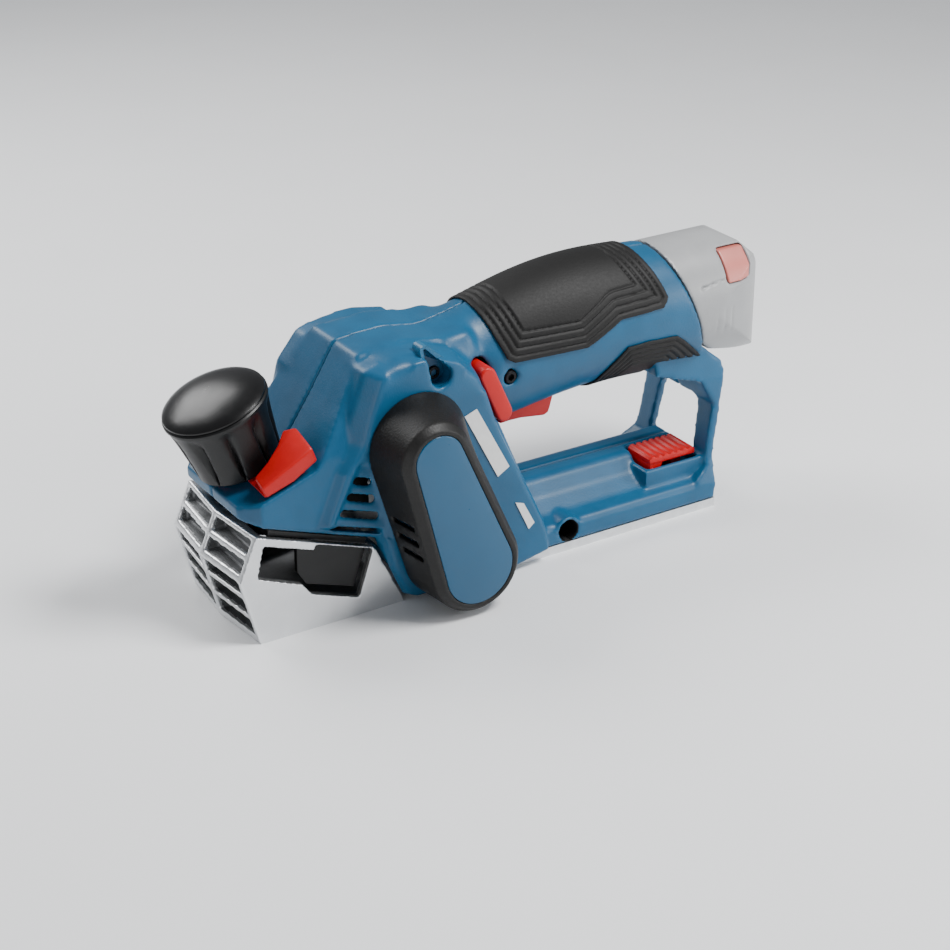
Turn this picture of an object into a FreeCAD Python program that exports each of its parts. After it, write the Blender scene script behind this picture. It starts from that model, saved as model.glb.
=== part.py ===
"""Cordless hand planer: housing shells, soles, cutter, motor, belt drive and battery.

The frame is the tool's own: +X runs from the front knob to the battery, +Z is up from the soles,
and the belt cover is on the -Y side.  The origin is the middle of the footprint, on the sole plane.
"""
import FreeCAD, Part
import math
import os

from FreeCAD import Placement, Rotation, Vector

document = FreeCAD.newDocument("HandPlaner")

# ---------------------------------------------------------------- driving dimensions, millimetres
DIMENSIONS = {
    # whole tool
    "overall_length": 242, "overall_width": 100, "overall_height": 104,
    "sole_width": 52, "sole_thickness": 3.5, "sole_rear": 90.1,
    "wall": 2.6, "seam_gap": 0.1,
    # front shoe and its depth travel
    "nose_reach": 109.5, "nose_bow": 2.5, "shoe_front": 103.2, "shoe_rear": 46.8, "depth_travel": 2,
    # cutter drum
    "drum_from_rear": 31, "drum_height": 20, "drum_radius": 18.6, "cutting_radius": 19.9,
    "cutting_width": 48, "shaft_radius": 4, "bearing_radius": 11, "bearing_width": 7,
    # motor and belt drive
    "motor_from_rear": 40, "motor_height": 58, "motor_radius": 16.5, "motor_length": 40,
    "motor_shaft_radius": 2.5, "motor_bearing_radius": 6.5, "motor_bearing_width": 5,
    "drum_pulley_radius": 12.6, "motor_pulley_radius": 7, "pulley_width": 10, "belt_width": 8,
    "belt_thickness": 1.6, "running_gap": 0.3, "shaft_fit": 0.05,
    # belt cover
    "cover_wall": 2,
    # side bosses of the housing
    "near_boss": 30, "far_boss": 28,
    # depth knob
    "knob_tilt": 19.8, "spindle_radius": 6,
    # battery
    "battery_half_width": 21.8, "battery_half_height": 24.6, "battery_round": 32,
    # soft grips
    "grip_thickness": 0.9,
    # guide fence screw holes
    "guide_hole_radius": 4.1, "guide_hole_height": 7.9, "guide_hole_from_origin": 22.8,
    "guide_hole_depth": 12,
}

sheet = document.addObject("Spreadsheet::Sheet", "Dims")
for row, (alias, value) in enumerate(DIMENSIONS.items(), start=1):
    sheet.set(f"A{row}", alias)
    sheet.set(f"B{row}", str(value))
    sheet.setAlias(f"B{row}", alias)
document.recompute()


def size(alias):
    """The value of one cell of the sheet."""
    return float(sheet.get(alias))


half_width = size("sole_width") / 2
drum_x, drum_z = -size("drum_from_rear"), size("drum_height")
motor_x, motor_z = -size("motor_from_rear"), size("motor_height")
wall = size("wall")
gap = size("running_gap")
sub_parts = []


# ---------------------------------------------------------------- modelling helpers
def node(label, item):
    """Name a finished sub-part; its label is its node's name."""
    item.Label = label
    sub_parts.append(item)
    return item


def polyline(points):
    """Straight edges through the points, closed."""
    corners = [Vector(a, b, 0) for a, b in points]
    return [Part.LineSegment(p, q) for p, q in zip(corners, corners[1:] + corners[:1])]


def belt_outline(first, second):
    """Two circles (centre a, centre b, radius) joined by their outer tangents: a pulley-belt outline."""
    (xa, za, ra), (xb, zb, rb) = first, second
    along = math.atan2(zb - za, xb - xa)
    lean = math.acos((ra - rb) / math.hypot(xb - xa, zb - za))

    def rim(centre_x, centre_z, radius, angle):
        return Vector(centre_x + radius * math.cos(angle), centre_z + radius * math.sin(angle), 0)

    left, right = along + lean, along - lean
    start_a, end_a = rim(xa, za, ra, left), rim(xa, za, ra, right)
    start_b, end_b = rim(xb, zb, rb, left), rim(xb, zb, rb, right)
    back_of_a, tip_of_b = rim(xa, za, ra, along + math.pi), rim(xb, zb, rb, along)
    return [Part.Arc(start_a, back_of_a, end_a), Part.LineSegment(end_a, end_b),
            Part.Arc(end_b, tip_of_b, start_b), Part.LineSegment(start_b, start_a)]


def inset(points, amount):
    """A closed outline (counter-clockwise) moved inwards by the same amount along every side."""
    moved = []
    count = len(points)
    for index, (x, z) in enumerate(points):
        before, after = points[index - 1], points[(index + 1) % count]
        ax, az = x - before[0], z - before[1]
        bx, bz = after[0] - x, after[1] - z
        la, lb = math.hypot(ax, az), math.hypot(bx, bz)
        nax, naz, nbx, nbz = -az / la, ax / la, -bz / lb, bx / lb
        scale = amount / (1 + nax * nbx + naz * nbz)
        moved.append((x + scale * (nax + nbx), z + scale * (naz + nbz)))
    return moved


def plane_of(body, role):
    """The named origin plane of a body."""
    return next(item for item in body.Origin.OriginFeatures if item.Role == role)


def sketch_in(body, plane, edges, offset):
    """A sketch on one of the body's origin planes, moved along the plane's normal by an expression."""
    sketch = body.newObject("Sketcher::SketchObject", body.Name + "Sketch")
    sketch.AttachmentSupport = [(plane_of(body, plane), "")]
    sketch.MapMode = "FlatFace"
    for edge in edges:
        sketch.addGeometry(edge, False)
    sketch.setExpression("AttachmentOffset.Base.z", offset)
    return sketch


def padded(name, plane, edges, offset, length):
    """A body with one padded outline.  The pad runs along the plane's normal (-Y on XZ_Plane)."""
    body = document.addObject("PartDesign::Body", name)
    sketch = sketch_in(body, plane, edges, offset)
    pad = body.newObject("PartDesign::Pad", name + "Pad")
    pad.Profile = sketch
    pad.setExpression("Length", length)
    return body


def side_pad(name, points, y_high, width):
    """A side-view outline (x, z) made solid from y = y_high down by width."""
    return padded(name, "XZ_Plane", polyline(points), f"-({y_high})", width)


def front_pad(name, points, x_low, length):
    """A front-view outline (y, z) made solid from x = x_low along +X."""
    return padded(name, "YZ_Plane", polyline(points), x_low, length)


def plan_pad(name, points, z_low, height):
    """A plan-view outline (x, y) made solid from z = z_low upwards."""
    return padded(name, "XY_Plane", polyline(points), z_low, height)


def revolved(name, points, x=0.0, y=0.0, z=0.0, tilt=0.0):
    """A body turned about its own Z from a (radius, height) outline, then tilted about Y and placed."""
    body = document.addObject("PartDesign::Body", name)
    sketch = sketch_in(body, "XZ_Plane", polyline(points), "0")
    turned = body.newObject("PartDesign::Revolution", name + "Turn")
    turned.Profile = sketch
    turned.ReferenceAxis = (sketch, ["V_Axis"])
    turned.Angle = 360
    body.Placement = Placement(Vector(x, y, z), Rotation(Vector(0, 1, 0), tilt))
    return body


def cylinder(name, radius, length, x, y, z, direction=(0, 1, 0)):
    """A cylinder whose radius and length are expressions, from (x, y, z) along a direction."""
    item = document.addObject("Part::Cylinder", name)
    item.setExpression("Radius", radius)
    item.setExpression("Height", length)
    item.Placement = Placement(Vector(x, y, z), Rotation(Vector(0, 0, 1), Vector(*direction)))
    return item


def block(name, low, high):
    """A box between two opposite corners."""
    item = document.addObject("Part::Box", name)
    item.Length, item.Width, item.Height = (b - a for a, b in zip(low, high))
    item.Placement = Placement(Vector(*low), Rotation())
    return item


def fused(name, *items):
    item = document.addObject("Part::MultiFuse", name)
    item.Shapes = list(items)
    return item


def cut(name, base, *tools):
    """The base less every tool."""
    item = document.addObject("Part::Cut", name)
    item.Base = base
    item.Tool = tools[0] if len(tools) == 1 else fused(name + "Tools", *tools)
    return item


def common(name, *items):
    item = document.addObject("Part::MultiCommon", name)
    item.Shapes = list(items)
    return item


def loose_sketch(name, edges, y):
    """A side-view sketch standing at one y, for a loft."""
    sketch = document.addObject("Sketcher::SketchObject", name)
    for edge in edges:
        sketch.addGeometry(edge, False)
    sketch.Placement = Placement(Vector(0, y, 0), Rotation(Vector(1, 0, 0), 90))
    return sketch


def side_loft(name, *sections):
    """A ruled solid through side-view outlines, each given as (y, edges)."""
    item = document.addObject("Part::Loft", name)
    item.Sections = [loose_sketch(f"{name}Section{index}", edges, y)
                     for index, (y, edges) in enumerate(sections)]
    item.Solid = True
    item.Ruled = True
    return item


def group(name, items):
    """Several separate solids that share one node."""
    item = document.addObject("Part::Compound", name)
    item.Links = items
    return item


# ---------------------------------------------------------------- housing: outer form
# Side profile of the main body, from the nose's lower front corner round to the top.
body_profile = [(-106, 45), (-57.6, 27.6), (-46.4, 3.7), (14, 3.7), (12, 15), (-0.6, 42.6), (-8, 60),
                (-12, 91.5), (-24, 91), (-39, 93.4), (-50, 93), (-58, 92), (-67.5, 76.5),
                (-74.2, 66.5), (-79.4, 58.9), (-100, 51.6), (-106.4, 49.4)]
# Front view of the body: upright flanks that lean in towards the crown.
body_front = [(-26, 0), (26, 0), (26, 62), (16, 92), (14, 95), (-14, 95), (-16, 92), (-26, 62)]
# Plan view: the nose's two leading corners are cut back.
body_plan = [(-108, -17), (-100, -26.5), (22, -26.5), (22, 26.5), (-100, 26.5), (-108, 17)]
# Raised side boss round the drum and the belt drive, with the column that runs down to the sole.
boss_profile = [(-49, 3), (-44, 0.5), (-2.5, 0.5), (14, 3.7), (12, 15), (-0.6, 42.6), (-8, 58), (-15, 79.5),
                (-25, 89), (-37, 92.8), (-50, 92.4), (-60, 89.5), (-65, 76), (-68, 66), (-75, 57),
                (-83, 37.6), (-57.6, 28.2), (-54.4, 15)]
# The far boss reaches further forward at the crown, where the body's front rounds off to its far flank.
far_crown = {(-37, 92.8): (-37, 91.2), (-50, 92.4): (-50, 90.8), (-60, 89.5): (-59.5, 87.8),
             (-65, 76): (-67.5, 78), (-68, 66): (-70.5, 66)}
far_boss_profile = [far_crown.get(point, point) for point in boss_profile]
near_ramp, far_ramp, boss_rim, boss_front_bevel = 6, 2.5, 2.2, 3

body_side = side_pad("BodySide", body_profile, "Dims.sole_width / 2", "Dims.sole_width")
body_end = front_pad("BodyEnd", body_front, "-Dims.nose_reach", "Dims.nose_reach + 20")
body_outer = common("BodyOuter", body_side, body_end, plan_pad("BodyPlan", body_plan, "0", "100"))


def boss_solid(name, grow):
    """Both side bosses: full outline on the flanks, ramped in to a smaller face, most of all in front."""
    near, far = size("near_boss") - grow, size("far_boss") - grow

    def face(profile):
        return polyline([(x + boss_front_bevel if x < -56 and z > 30 else x, z)
                         for x, z in inset(profile, grow + boss_rim)])
    return side_loft(name, (-near, face(boss_profile)),
                     (-near + near_ramp, polyline(inset(boss_profile, grow))),
                     (far - far_ramp, polyline(inset(far_boss_profile, grow))), (far, face(far_boss_profile)))


# Handle: elliptical sections (x, underside, top, half width), slightly arched along the top.
handle_top = size("overall_height") - size("grip_thickness")
HANDLE = [(-26, 49, handle_top - 11.8, 19), (6, 49.4, handle_top - 4.8, 20.4),
          (30, 53, handle_top - 0.6, 22), (50, 54.4, handle_top, 22.8),
          (90, 51.4, handle_top - 1.6, 22.8)]


def handle_solid(name, grow):
    """The handle's lofted form, larger or smaller by grow all round."""
    body = document.addObject("PartDesign::Body", name)
    sections = []
    for x, underside, top, half_breadth in HANDLE:
        ellipse = Part.Ellipse(Vector(0, (underside + top) / 2, 0), (top - underside) / 2 + grow,
                               half_breadth + grow)
        ellipse.AngleXU = math.pi / 2
        sections.append(sketch_in(body, "YZ_Plane", [ellipse], str(x)))
    loft = body.newObject("PartDesign::AdditiveLoft", name + "Loft")
    loft.Profile = sections[0]
    loft.Sections = sections[1:]
    return body


# The handle's open end is cut on the slant: everything behind this line is taken off.
rim_top_x, rim_low_x = 70.6, 88.5
beyond_rim = [(rim_top_x, 106), (rim_low_x, 58), (130, 58), (130, 106)]
# Rear frame that joins the handle's end to the base, with a window between its posts.
tail_profile = [(82, 12), (87.5, 16), (91.5, 40), (86, 50), (66, 56), (66, 66), (84.5, 66.4), (91, 60.5),
                (96, 56.5), (97, 52.5), (95, 40), (91.5, 18), (90.1, 3.6), (82, 3.6)]
tail_front = [(-26, 3), (26, 3), (26, 9.5), (22, 19), (20.5, 50), (18, 60), (18, 70), (-18, 70), (-18, 60),
              (-20.5, 50), (-22, 19), (-26, 9.5)]
tail_window = [(-13.5, 18), (13.5, 18), (11.5, 38), (8, 40.5), (-8, 40.5), (-11.5, 38)]
# Rear base: a raised spine with hollowed shoulders that fall to a ledge over each sole edge.
base_section = [(-26, 3.6), (26, 3.6), (26, 9.2), (24.4, 11.2), (19, 12.6), (12.5, 16.6), (8.4, 21.4),
                (6, 22.6), (-6, 22.6), (-8.4, 21.4), (-12.5, 16.6), (-19, 12.6), (-24.4, 11.2), (-26, 9.2)]

boss_outer = boss_solid("BossOuter", 0)
handle_outer = cut("HandleOuter", handle_solid("HandleForm", 0),
                   side_pad("BeyondRim", beyond_rim, "30", "60"))
tail = cut("Tail", common("TailForm", side_pad("TailSide", tail_profile, "Dims.sole_width / 2",
                                               "Dims.sole_width"),
                          front_pad("TailEnd", tail_front, "50", "60")),
           front_pad("TailWindow", tail_window, "70", "40"))
base_outer = front_pad("BaseOuter", base_section, "-12", "Dims.sole_rear + 8")

# ---------------------------------------------------------------- housing: hollows
inner_half = half_width - wall
body_cavity = common(
    "BodyCavity",
    side_pad("CavitySide", inset(body_profile, wall), "Dims.sole_width / 2 - Dims.wall",
             "Dims.sole_width - 2 * Dims.wall"),
    front_pad("CavityEnd", [(y * inner_half / half_width, z - wall) for y, z in body_front],
              "-Dims.nose_reach", "Dims.nose_reach + 20"),
    plan_pad("CavityPlan", inset(body_plan, wall), "0", "100"))
boss_cavity = boss_solid("BossCavity", wall)
handle_cavity = common("HandleCavity", handle_solid("HandleHollow", -wall),
                       block("HandleHollowSpan", (-24, -30, 40), (130, 30, 110)))
base_cavity = front_pad("BaseCavity", [(-22.5, 6.4), (22.5, 6.4), (17.5, 10.4), (10.4, 15), (6, 20),
                                       (-6, 20), (-10.4, 15), (-17.5, 10.4)], "-8", "70")
# Drum bay: open downwards between the two soles.
drum_bay = fused("DrumBay",
                 cylinder("DrumBayRound", "Dims.cutting_radius + 1.6", "Dims.cutting_width + 1.4",
                          drum_x, -24.7, drum_z),
                 block("DrumBayMouth", (-52, -24.7, -1), (-12.2, 24.7, drum_z)))
# The nose is open underneath, over the front shoe.
nose_opening = side_pad("NoseOpening", [(-99, 36), (-54, 20), (-52, 24), (-57, 38), (-62, 44), (-99, 48)],
                        "Dims.sole_width / 2 - Dims.wall", "Dims.sole_width - 2 * Dims.wall")
sole_seat = block("SoleSeat", (-60, -half_width - 0.05, -1), (100, half_width + 0.05, 3.55))
# Room for the front shoe over its whole depth travel.
travel = size("depth_travel")
shoe_sweep = side_pad("ShoeSweep", [(-114, -1), (-45.4, -1), (-46.3, travel), (-57.9, 25 + travel),
                                    (-103, 41.1 + travel), (-114, 44)], "Dims.sole_width / 2 + 0.05",
                      "Dims.sole_width + 0.1")
# Seats cut through the walls for the shafts and bearings.
drum_bearing_seat = cylinder("DrumBearingSeat", "Dims.bearing_radius + 2.6", "20", drum_x, -40, drum_z)
far_bearing_seat = cylinder("FarBearingSeat", "Dims.bearing_radius + 0.1", "20", drum_x, 20, drum_z)
motor_neck = cylinder("MotorNeck", "Dims.motor_bearing_radius + 2.6", "40", motor_x, -40, motor_z)
motor_window = cylinder("MotorWindow", "Dims.motor_radius + 0.8", "40", motor_x, 0, motor_z)
spindle_axis = Vector(-math.sin(math.radians(size("knob_tilt"))), 0, math.cos(math.radians(size("knob_tilt"))))
knob_foot = Vector(-95, 0, 56.4)
spindle_foot = knob_foot - spindle_axis * 16
spindle_hole = cylinder("SpindleHole", "Dims.spindle_radius + 0.3", "15", *spindle_foot,
                        direction=spindle_axis)
# Screw bosses for the parallel guide, one on each flank of the base.
guide_x, guide_z = size("guide_hole_from_origin"), size("guide_hole_height")
guide_low = {"near": -half_width + 0.1, "far": half_width - 0.1 - size("guide_hole_depth")}
guide_bosses = [cylinder(f"GuideBoss_{side}", "Dims.guide_hole_radius + 1.8", "Dims.guide_hole_depth",
                         guide_x, low, guide_z - 0.5) for side, low in guide_low.items()]
guide_holes = [cylinder(f"GuideHole_{side}", "Dims.guide_hole_radius", "Dims.guide_hole_depth + 1",
                        guide_x, low - (1 if side == "near" else 0), guide_z)
               for side, low in guide_low.items()]
# Four vent slots on each flank, in line with the shoe's top edge, inside a triangle that narrows upwards.
vent_slope, vent_rise = 18.3, 6.3
vent_triangle = [(-75.8, 35.4), (-56.2, 28.9), (-61.6, 55.6), (-65.8, 56.8)]
vent_bars = []
for step in range(4):
    bar = block(f"VentBar{step}", (0, -40, 0), (32, 40, 2.6))
    bar.Placement = Placement(Vector(-80, -40, 37.1 + vent_rise * step), Rotation(Vector(0, 1, 0), vent_slope))
    vent_bars.append(bar)
vents = common("Vents", fused("VentBars", *vent_bars), side_pad("VentTriangle", vent_triangle, "40", "80"))
# Near-side screws (x, z, depth of the head off the centre plane), and two more from the far side.
screw_places = [(1.4, 71.5, 19.6), (-33, 83, 24.5)]
far_screw_places = [(38, 66, 19.8), (70, 84, 21.2)]
screw_pockets = [cylinder(f"ScrewPocket{index}", "2.7", "20", x, -depth - 10, z)
                 for index, (x, z, depth) in enumerate(screw_places)]
far_pockets = [cylinder(f"FarScrewPocket{index}", "2.7", "20", x, depth - 3, z)
               for index, (x, z, depth) in enumerate(far_screw_places)]
# The lock button's two round ends (x, z) and their radius.
lock_low, lock_high, lock_radius = (-5.3, 62), (-12.2, 77.4), 3.3
lock_slot = padded("LockSlot", "XZ_Plane", belt_outline((*lock_low, lock_radius + 0.5),
                                                        (*lock_high, lock_radius + 0.5)), "-40", "80")
trigger_pivot, rest_pivot = (31, 57), (66.5, 17.2)
pin_seats = [cylinder("TriggerPinSeat", "1.5 + Dims.shaft_fit", "18.2", trigger_pivot[0], -9.1, trigger_pivot[1]),
             cylinder("ParkingPinSeat", "1.2 + Dims.shaft_fit", "17.2", rest_pivot[0], -19.1, rest_pivot[1])]
trigger_slot = block("TriggerSlot", (3.8, -6.4, 38), (35.2, 6.4, 66))
rest_well = block("RestWell", (63.5, -18.2, 14.4), (87, -2.8, 30))
rest_slot = block("RestSlot", (75.4, -12.6, -2), (85.6, -8.0, 20))

inside = fused("Inside", body_cavity, boss_cavity, handle_cavity, base_cavity, drum_bay, nose_opening)
rest_plinth = block("RestPlinth", (61.4, -20.4, 9), (89.2, -0.6, 19.3))
outside = fused("Outside", body_outer, boss_outer, handle_outer, tail, base_outer, rest_plinth)
shell = cut("Shell", fused("ShellWithBosses", cut("HollowShell", outside, inside), *guide_bosses),
            sole_seat, shoe_sweep, drum_bearing_seat, far_bearing_seat, motor_neck, motor_window, spindle_hole,
            lock_slot, trigger_slot, rest_well, rest_slot, vents, *screw_pockets, *far_pockets, *guide_holes,
            *pin_seats)
seam = size("seam_gap") / 2
node("housing_near", common("NearHalf", shell, block("NearSide", (-130, -60, -5), (130, -seam, 120))))
node("housing_far", common("FarHalf", shell, block("FarSide", (-130, seam, -5), (130, 60, 120))))

# ---------------------------------------------------------------- soles
rear_sole_plate = block("RearSolePlate", (-25.6, -half_width, 0),
                        (size("sole_rear"), half_width, size("sole_thickness")))
drum_clearance = cylinder("DrumClearance", "Dims.cutting_radius + 0.9", "60", drum_x, -30, drum_z)
node("rear_sole", cut("RearSole", rear_sole_plate, drum_clearance, rest_slot))

# Front shoe: a bowed casting, hollow for the chips, with a window in each flank and a cell grille.
shoe_profile = [(-size("shoe_front"), 0), (-size("shoe_rear"), 0), (-58.3, 24.4), (-102.9, 40.5), (-109.5, 25)]


def bowed(points, reach, front):
    """The shoe's outline at mid-width, where its leading corners stand further forward."""
    return [(x - reach if x < front else x, z) for x, z in points]


bow = size("nose_bow")
shoe_form = side_loft("ShoeForm", (-half_width, polyline(shoe_profile)),
                      (0, polyline(bowed(shoe_profile, bow, -80))), (half_width, polyline(shoe_profile)))
chip_space = side_pad("ChipSpace", [(-97.5, 4), (-40, 4), (-40, 60), (-97.5, 60), (-101.5, 24)],
                      "Dims.sole_width / 2 - 3", "Dims.sole_width - 6")
window_outline = [(-103, 24.9), (-86.4, 18), (-83, 13.4), (-64.8, 6.8), (-59, 24.0), (-80.5, 31.6),
                  (-82, 29.9), (-100.4, 36.4)]
window_cut = side_pad("WindowCut", window_outline, "40", "80")
drum_nose = cylinder("DrumNose", "Dims.cutting_radius + 0.9", "60", drum_x, -30, drum_z)
grille_cells = []
for row, (low_z, high_z, set_back) in enumerate([(3, 9.4, 1.6), (11.2, 17.6, 3.3), (19.4, 24.6, 5),
                                                 (27, 32, 4.6), (33.8, 38.6, 2.4)]):
    front_x = -103.2 - set_back
    for side in (-1, 1):
        low_y, high_y = sorted((side * 1.1, side * (half_width - 2.2)))
        grille_cells.append(block(f"Cell{row}{'n' if side < 0 else 'f'}", (front_x - 8, low_y, low_z),
                                  (front_x + 4.4 - set_back * 0.3, high_y, high_z)))
node("front_shoe", cut("FrontShoe", shoe_form, chip_space, window_cut, drum_nose, *grille_cells))

# ---------------------------------------------------------------- chip duct, deflector and selector
duct_half = half_width - 3 - 0.7
duct_top = side_pad("DuctTop", [(-96.9, 37.3), (-60.5, 24.2), (-59.6, 26.6), (-96.9, 40.1)],
                    f"{duct_half}", f"{2 * duct_half}")
duct_panel = [(-86.4, 34.6), (-86.4, 21), (-83.2, 15.8), (-64.8, 9.4), (-60.4, 22.4), (-60.4, 25.2)]
duct_walls = [side_pad(f"DuctWall{index}", duct_panel[::-1], f"{high}", "2")
              for index, high in enumerate((duct_half, -duct_half + 2))]
node("chip_duct", fused("ChipDuct", duct_top, *duct_walls))

deflector_x = -94.6
deflector_hub = cylinder("DeflectorHub", "2.2", "25", deflector_x, 0, 10, (0, 0, 1))
deflector_blade = side_pad("DeflectorBlade", [(0, 0), (17.5, 0), (17.5, 18.2), (0, 22.6)], "1", "2")
swing = math.degrees(math.atan2(duct_half - 4, 9))
deflector_blade.Placement = Placement(Vector(deflector_x, 0, 11.2), Rotation(Vector(0, 0, 1), swing))
node("chip_deflector", fused("ChipDeflector", deflector_hub, deflector_blade))

# The selector ring lies under the depth knob, on the spindle, with a thumb tab beside the knob.
tilt = -size("knob_tilt")


def on_spindle(item, along):
    """Stand an item on the knob's slanted axis, this far up from the knob's foot."""
    item.Placement = Placement(knob_foot + spindle_axis * along, Rotation(Vector(0, 1, 0), tilt))
    return item


# The tab stands clear of the housing's front wall and rises from its outer edge towards the knob.
selector_ring = on_spindle(cylinder("SelectorRing", "10.5", "1.3", 0, 0, 0), -1.9)
selector_arm = on_spindle(plan_pad("SelectorArm", [(-4, -24), (12, -24), (8, -7), (-3, -7)], "0", "1.3"), -1.9)
tab_plan = [(-4, -25.2), (17.2, -25.8), (17.4, -17), (13.3, -15.4), (9, -17.6), (3, -19.4), (-3.4, -19.8)]
selector_tab = on_spindle(common(
    "SelectorTab", plan_pad("TabPlan", tab_plan[::-1], "-5", "20"),
    front_pad("TabFront", [(-27, -3), (-14, -3), (-14, 11.6), (-26, 2.6), (-27, 2.6)], "-10", "30"),
    side_pad("TabSide", [(-10, -1.9), (14.2, -1.9), (18, 0.6), (18, 13), (-10, 13)], "30", "60")), 0)
selector_bore = on_spindle(cylinder("SelectorBore", "Dims.spindle_radius + Dims.shaft_fit", "8", 0, 0, 0), -4)
node("chip_selector", cut("ChipSelector", fused("SelectorForm", selector_ring, selector_arm, selector_tab),
                          selector_bore))

# ---------------------------------------------------------------- depth knob on its spindle
node("depth_spindle", on_spindle(cylinder("DepthSpindle", "Dims.spindle_radius", "30", 0, 0, 0), -12))
knob_profile = [(0, 0), (13.4, 0), (14.6, 1.2), (17.0, 19.5), (18.6, 21.6), (18.6, 25), (0, 25)]
knob_bore = on_spindle(cylinder("KnobBore", "Dims.spindle_radius + Dims.shaft_fit", "21", 0, 0, 0), -2)
knob_form = revolved("KnobForm", knob_profile, *knob_foot, tilt=tilt)
node("depth_knob", cut("DepthKnob", knob_form, knob_bore))
node("knob_cap", revolved("KnobCap", [(0, 25), (18, 25), (17, 26.6), (12.5, 28.6), (6.5, 29.8), (0, 30.2)],
                          *knob_foot, tilt=tilt))

# ---------------------------------------------------------------- cutter drum
drum_length = size("cutting_width")
blade_slot = block("BladeSlot", (drum_x - 6.5, -drum_length / 2 - 1, drum_z + 8.5),
                   (drum_x + 6.5, drum_length / 2 + 1, drum_z + 30))
drum_body = cut("DrumBody", cylinder("DrumForm", "Dims.drum_radius", "Dims.cutting_width",
                                     drum_x, -drum_length / 2, drum_z), blade_slot)
node("cutter_drum", fused("CutterDrum", drum_body,
                          cylinder("DrumAxle", "Dims.shaft_radius", "76", drum_x, -45, drum_z)))
node("planer_blade", block("PlanerBlade", (drum_x - 1.1, -drum_length / 2, drum_z + 8.5),
                           (drum_x, drum_length / 2, drum_z + size("cutting_radius"))))
clamp_screws = [cylinder(f"ClampScrew{index}", "2.4", "1.6", drum_x + 3.6, y, drum_z + 17.2, (0.2, 0, 1))
                for index, y in enumerate((-16, 0, 16))]
clamp_form = side_pad("ClampForm", [(drum_x, drum_z + 8.5), (drum_x + 6.5, drum_z + 8.5),
                                    (drum_x + 6.5, drum_z + 16.9), (drum_x, drum_z + 18.3)],
                      "Dims.cutting_width / 2", "Dims.cutting_width")
node("blade_clamp", cut("BladeClamp", clamp_form, *clamp_screws))
node("blade_seat", side_pad("BladeSeat", [(drum_x - 6.5, drum_z + 8.5), (drum_x - 1.1, drum_z + 8.5),
                                          (drum_x - 1.1, drum_z + 18.3), (drum_x - 6.5, drum_z + 16.9)],
                            "Dims.cutting_width / 2", "Dims.cutting_width"))
node("clamp_screws", group("ClampScrews", clamp_screws))
belt_y = -46.5
node("drum_pulley", cut("DrumPulley",
                        cylinder("DrumPulleyForm", "Dims.drum_pulley_radius", "Dims.pulley_width",
                                 drum_x, belt_y, drum_z),
                        cylinder("DrumPulleyBore", "Dims.shaft_radius", "20", drum_x, belt_y - 5, drum_z)))

# ---------------------------------------------------------------- bearings and their plate
plate_form = padded("PlateForm", "XZ_Plane", belt_outline((drum_x, drum_z, 14.5), (motor_x, motor_z, 11)),
                    "Dims.near_boss + 0.1", "3")
node("bearing_plate", cut(
    "BearingPlate",
    fused("PlateWithHubs", plate_form,
          cylinder("DrumHub", "Dims.bearing_radius + 2.3", "5.6", drum_x, -30.8, drum_z),
          cylinder("MotorHub", "Dims.motor_bearing_radius + 2.3", "5.6", motor_x, -30.8, motor_z)),
    cylinder("PlateDrumBore", "Dims.bearing_radius", "20", drum_x, -36, drum_z),
    cylinder("PlateMotorBore", "Dims.motor_bearing_radius", "20", motor_x, -36, motor_z)))
bearing_cap_form = cylinder("BearingCapForm", "Dims.bearing_radius + 3", "6", drum_x, size("far_boss") + 0.1,
                            drum_z)
node("bearing_cap", cut("BearingCap", bearing_cap_form,
                        cylinder("BearingCapBore", "Dims.bearing_radius", "12.4", drum_x, 20, drum_z)))
for label, x, z, y, outer, width, bore in (
        ("drum_bearing_near", drum_x, drum_z, -32.4, "bearing_radius", "bearing_width", "shaft_radius"),
        ("drum_bearing_far", drum_x, drum_z, 24.8, "bearing_radius", "bearing_width", "shaft_radius"),
        ("motor_bearing_near", motor_x, motor_z, -32, "motor_bearing_radius",
         "motor_bearing_width", "motor_shaft_radius"),
        ("motor_bearing_far", motor_x, motor_z, 35, "motor_bearing_radius",
         "motor_bearing_width", "motor_shaft_radius")):
    node(label, cut(label + "_ring", cylinder(label + "_form", f"Dims.{outer}", f"Dims.{width}", x, y, z),
                    cylinder(label + "_bore", f"Dims.{bore} + Dims.shaft_fit", "20", x, y - 5, z)))

# ---------------------------------------------------------------- motor
motor_y = -18
node("motor_stator", cut("MotorStator",
                         cylinder("StatorForm", "Dims.motor_radius", "Dims.motor_length", motor_x, motor_y,
                                  motor_z),
                         cylinder("StatorBore", "Dims.motor_radius - 6.5", "60", motor_x, motor_y - 5, motor_z)))
node("motor_rotor", cylinder("MotorRotor", "Dims.motor_radius - 6.9", "Dims.motor_length - 8", motor_x,
                             motor_y + 4, motor_z))
node("motor_shaft", cut("MotorShaft", cylinder("ShaftForm", "Dims.motor_shaft_radius", "88", motor_x, -46.5,
                                               motor_z),
                        cylinder("ShaftSpan", "Dims.motor_shaft_radius + 1", "Dims.motor_length - 8",
                                 motor_x, motor_y + 4, motor_z)))
node("cooling_fan", cut("CoolingFan", cylinder("FanForm", "14.5", "5", motor_x, 25, motor_z),
                        cylinder("FanBore", "Dims.motor_shaft_radius", "20", motor_x, 20, motor_z)))
node("motor_pulley", cut("MotorPulley",
                         cylinder("MotorPulleyForm", "Dims.motor_pulley_radius", "Dims.pulley_width",
                                  motor_x, belt_y, motor_z),
                         cylinder("MotorPulleyBore", "Dims.motor_shaft_radius", "20", motor_x, belt_y - 5,
                                  motor_z)))


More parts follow.
